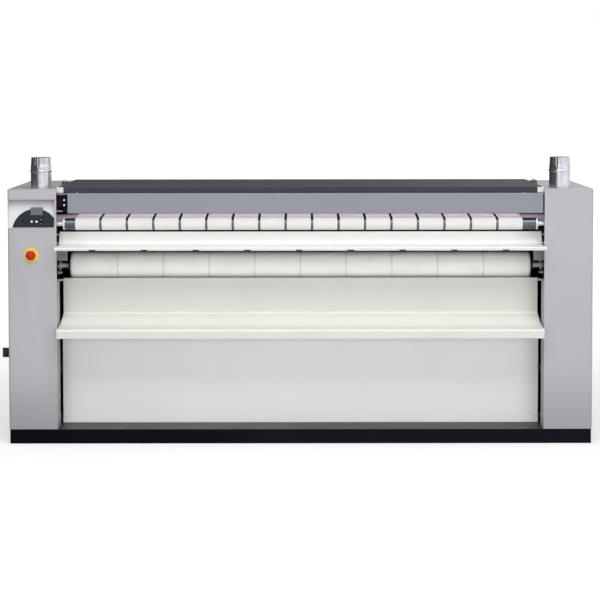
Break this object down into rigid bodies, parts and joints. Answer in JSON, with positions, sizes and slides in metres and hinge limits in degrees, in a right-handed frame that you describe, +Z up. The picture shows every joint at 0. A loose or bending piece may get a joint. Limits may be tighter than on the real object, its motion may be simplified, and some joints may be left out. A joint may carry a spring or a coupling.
{
  "type": "flatwork ironer",
  "caption": "Industrial flatwork ironer: heated cylinder between two cabinets, white feed and ironing belts, feed shelf, receiving tray, dark hood and exhaust spigots.",
  "frame": {"origin": "centre of the plinth's underside, on the floor", "axes": "+X to the operator's right along the cylinder, +Y from the operator towards the rear, +Z up"},
  "size_m": [2.672, 0.835, 1.29],
  "materials": {
    "plinth_paint": "semi-matt black enamel",
    "frame_paint": "matt dark grey paint",
    "cabinet_paint": "satin grey powder coat",
    "galvanised_steel": "galvanised sheet",
    "white_paint": "satin white powder coat",
    "hood_paint": "matt dark grey powder coat",
    "guard_paint": "satin blue-grey powder coat",
    "stripper_plastic": "heat-proof moulding",
    "polished_steel": "ground and polished",
    "roller_steel": "turned steel",
    "belt_cloth": "woven aramid and polyester belting",
    "motor_paint": "enamel over castings",
    "drive_rubber": "matt",
    "fascia_plastic": "semi-gloss overlay",
    "display_plastic": "clear window over a grey display",
    "white_key_plastic": "moulded",
    "dark_key_plastic": "moulded",
    "stop_yellow_plastic": "moulded",
    "stop_red_plastic": "moulded",
    "switch_plastic": "moulded"
  },
  "bodies": {
    "root": {"base_plinth": "plinth_paint", "left_side_frame": "frame_paint", "right_side_frame": "frame_paint", "left_cabinet_cover": "cabinet_paint", "right_cabinet_cover": "cabinet_paint", "rear_panel": "cabinet_paint", "left_exhaust_duct": "galvanised_steel", "right_exhaust_duct": "galvanised_steel", "lower_front_panel": "white_paint", "receiving_tray": "white_paint", "feed_shelf": "white_paint", "hood_cover": "hood_paint", "stripper_bar": "stripper_plastic", "ironing_belt_01": "belt_cloth", "ironing_belt_02": "belt_cloth", "ironing_belt_03": "belt_cloth", "ironing_belt_04": "belt_cloth", "ironing_belt_05": "belt_cloth", "ironing_belt_06": "belt_cloth", "ironing_belt_07": "belt_cloth", "ironing_belt_08": "belt_cloth", "ironing_belt_09": "belt_cloth", "ironing_belt_10": "belt_cloth", "feed_belt_01": "belt_cloth", "feed_belt_02": "belt_cloth", "feed_belt_03": "belt_cloth", "feed_belt_04": "belt_cloth", "feed_belt_05": "belt_cloth", "feed_belt_06": "belt_cloth", "feed_belt_07": "belt_cloth", "feed_belt_08": "belt_cloth", "feed_belt_09": "belt_cloth", "feed_belt_10": "belt_cloth", "feed_belt_11": "belt_cloth", "feed_belt_12": "belt_cloth", "feed_belt_13": "belt_cloth", "feed_belt_14": "belt_cloth", "feed_belt_15": "belt_cloth", "feed_belt_16": "belt_cloth", "feed_belt_17": "belt_cloth", "drive_motor": "motor_paint", "drive_belt": "drive_rubber", "control_fascia": "fascia_plastic", "display_window": "display_plastic", "estop_collar": "stop_yellow_plastic"},
    "cylinder": {"ironing_cylinder": "polished_steel"},
    "return_roller": {"return_roller": "roller_steel"},
    "feed_roller": {"feed_roller": "roller_steel"},
    "nip_roller": {"nip_roller": "roller_steel"},
    "entry_roller": {"entry_roller": "roller_steel"},
    "lower_rear_roller": {"lower_rear_roller": "roller_steel"},
    "upper_rear_roller": {"upper_rear_roller": "roller_steel"},
    "motor_pulley": {"motor_pulley": "roller_steel"},
    "finger_guard": {"finger_guard": "guard_paint"},
    "estop_button": {"estop_button": "stop_red_plastic"},
    "start_button": {"start_button": "white_key_plastic"},
    "stop_button": {"stop_button": "white_key_plastic"},
    "up_key": {"up_key": "dark_key_plastic"},
    "down_key": {"down_key": "dark_key_plastic"},
    "switch_knob": {"switch_knob": "switch_plastic"}
  },
  "joints": [
    {"name": "cylinder_spin", "type": "hinge", "parent": "root", "child": "cylinder", "pos_m": [0, 0.045, 0.928], "axis": [1, 0, 0], "continuous": true},
    {"name": "return_roller_spin", "type": "hinge", "parent": "root", "child": "return_roller", "pos_m": [0, -0.13836, 0.78423], "axis": [1, 0, 0], "continuous": true},
    {"name": "feed_roller_spin", "type": "hinge", "parent": "root", "child": "feed_roller", "pos_m": [0, -0.335, 0.99186], "axis": [1, 0, 0], "continuous": true},
    {"name": "nip_roller_spin", "type": "hinge", "parent": "root", "child": "nip_roller", "pos_m": [0, -0.13988, 1.00686], "axis": [1, 0, 0], "continuous": true},
    {"name": "entry_roller_spin", "type": "hinge", "parent": "root", "child": "entry_roller", "pos_m": [0, -0.07486, 1.08308], "axis": [1, 0, 0], "continuous": true},
    {"name": "lower_rear_roller_spin", "type": "hinge", "parent": "root", "child": "lower_rear_roller", "pos_m": [0, 0.2753, 0.7001], "axis": [1, 0, 0], "continuous": true},
    {"name": "upper_rear_roller_spin", "type": "hinge", "parent": "root", "child": "upper_rear_roller", "pos_m": [0, 0.26529, 1.06037], "axis": [1, 0, 0], "continuous": true},
    {"name": "motor_pulley_spin", "type": "hinge", "parent": "root", "child": "motor_pulley", "pos_m": [0, 0.045, 0.42], "axis": [1, 0, 0], "continuous": true},
    {"name": "finger_guard_swing", "type": "hinge", "parent": "root", "child": "finger_guard", "pos_m": [0, -0.355, 1.127], "axis": [1, 0, 0], "range_deg": [0, 15], "stiffness_Nm_per_rad": 3, "springref_deg": -17.19},
    {"name": "estop_press", "type": "slide", "parent": "root", "child": "estop_button", "axis": [0, 1, 0], "range_m": [0, 0.005], "stiffness_N_per_m": 800, "springref_m": -0.002},
    {"name": "start_press", "type": "slide", "parent": "root", "child": "start_button", "axis": [0, 0.9734, -0.229], "range_m": [0, 0.002], "stiffness_N_per_m": 300, "springref_m": -0.001},
    {"name": "stop_press", "type": "slide", "parent": "root", "child": "stop_button", "axis": [0, 0.9734, -0.229], "range_m": [0, 0.002], "stiffness_N_per_m": 300, "springref_m": -0.001},
    {"name": "up_press", "type": "slide", "parent": "root", "child": "up_key", "axis": [0, 0.9734, -0.229], "range_m": [0, 0.001], "stiffness_N_per_m": 300, "springref_m": -0.001},
    {"name": "down_press", "type": "slide", "parent": "root", "child": "down_key", "axis": [0, 0.9734, -0.229], "range_m": [0, 0.001], "stiffness_N_per_m": 300, "springref_m": -0.001},
    {"name": "main_switch_turn", "type": "hinge", "parent": "root", "child": "switch_knob", "pos_m": [-1.315, -0.275, 0.4], "axis": [1, 0, 0], "range_deg": [0, 90]}
  ],
  "couplings": [
    {"joint": "return_roller_spin", "follows": "cylinder_spin", "ratio": -2.8947},
    {"joint": "entry_roller_spin", "follows": "cylinder_spin", "ratio": -7.5},
    {"joint": "lower_rear_roller_spin", "follows": "cylinder_spin", "ratio": -5.5},
    {"joint": "upper_rear_roller_spin", "follows": "cylinder_spin", "ratio": -5.5},
    {"joint": "feed_roller_spin", "follows": "cylinder_spin", "ratio": 6.6},
    {"joint": "nip_roller_spin", "follows": "cylinder_spin", "ratio": 7.5},
    {"joint": "motor_pulley_spin", "follows": "cylinder_spin", "ratio": 2.4}
  ]
}
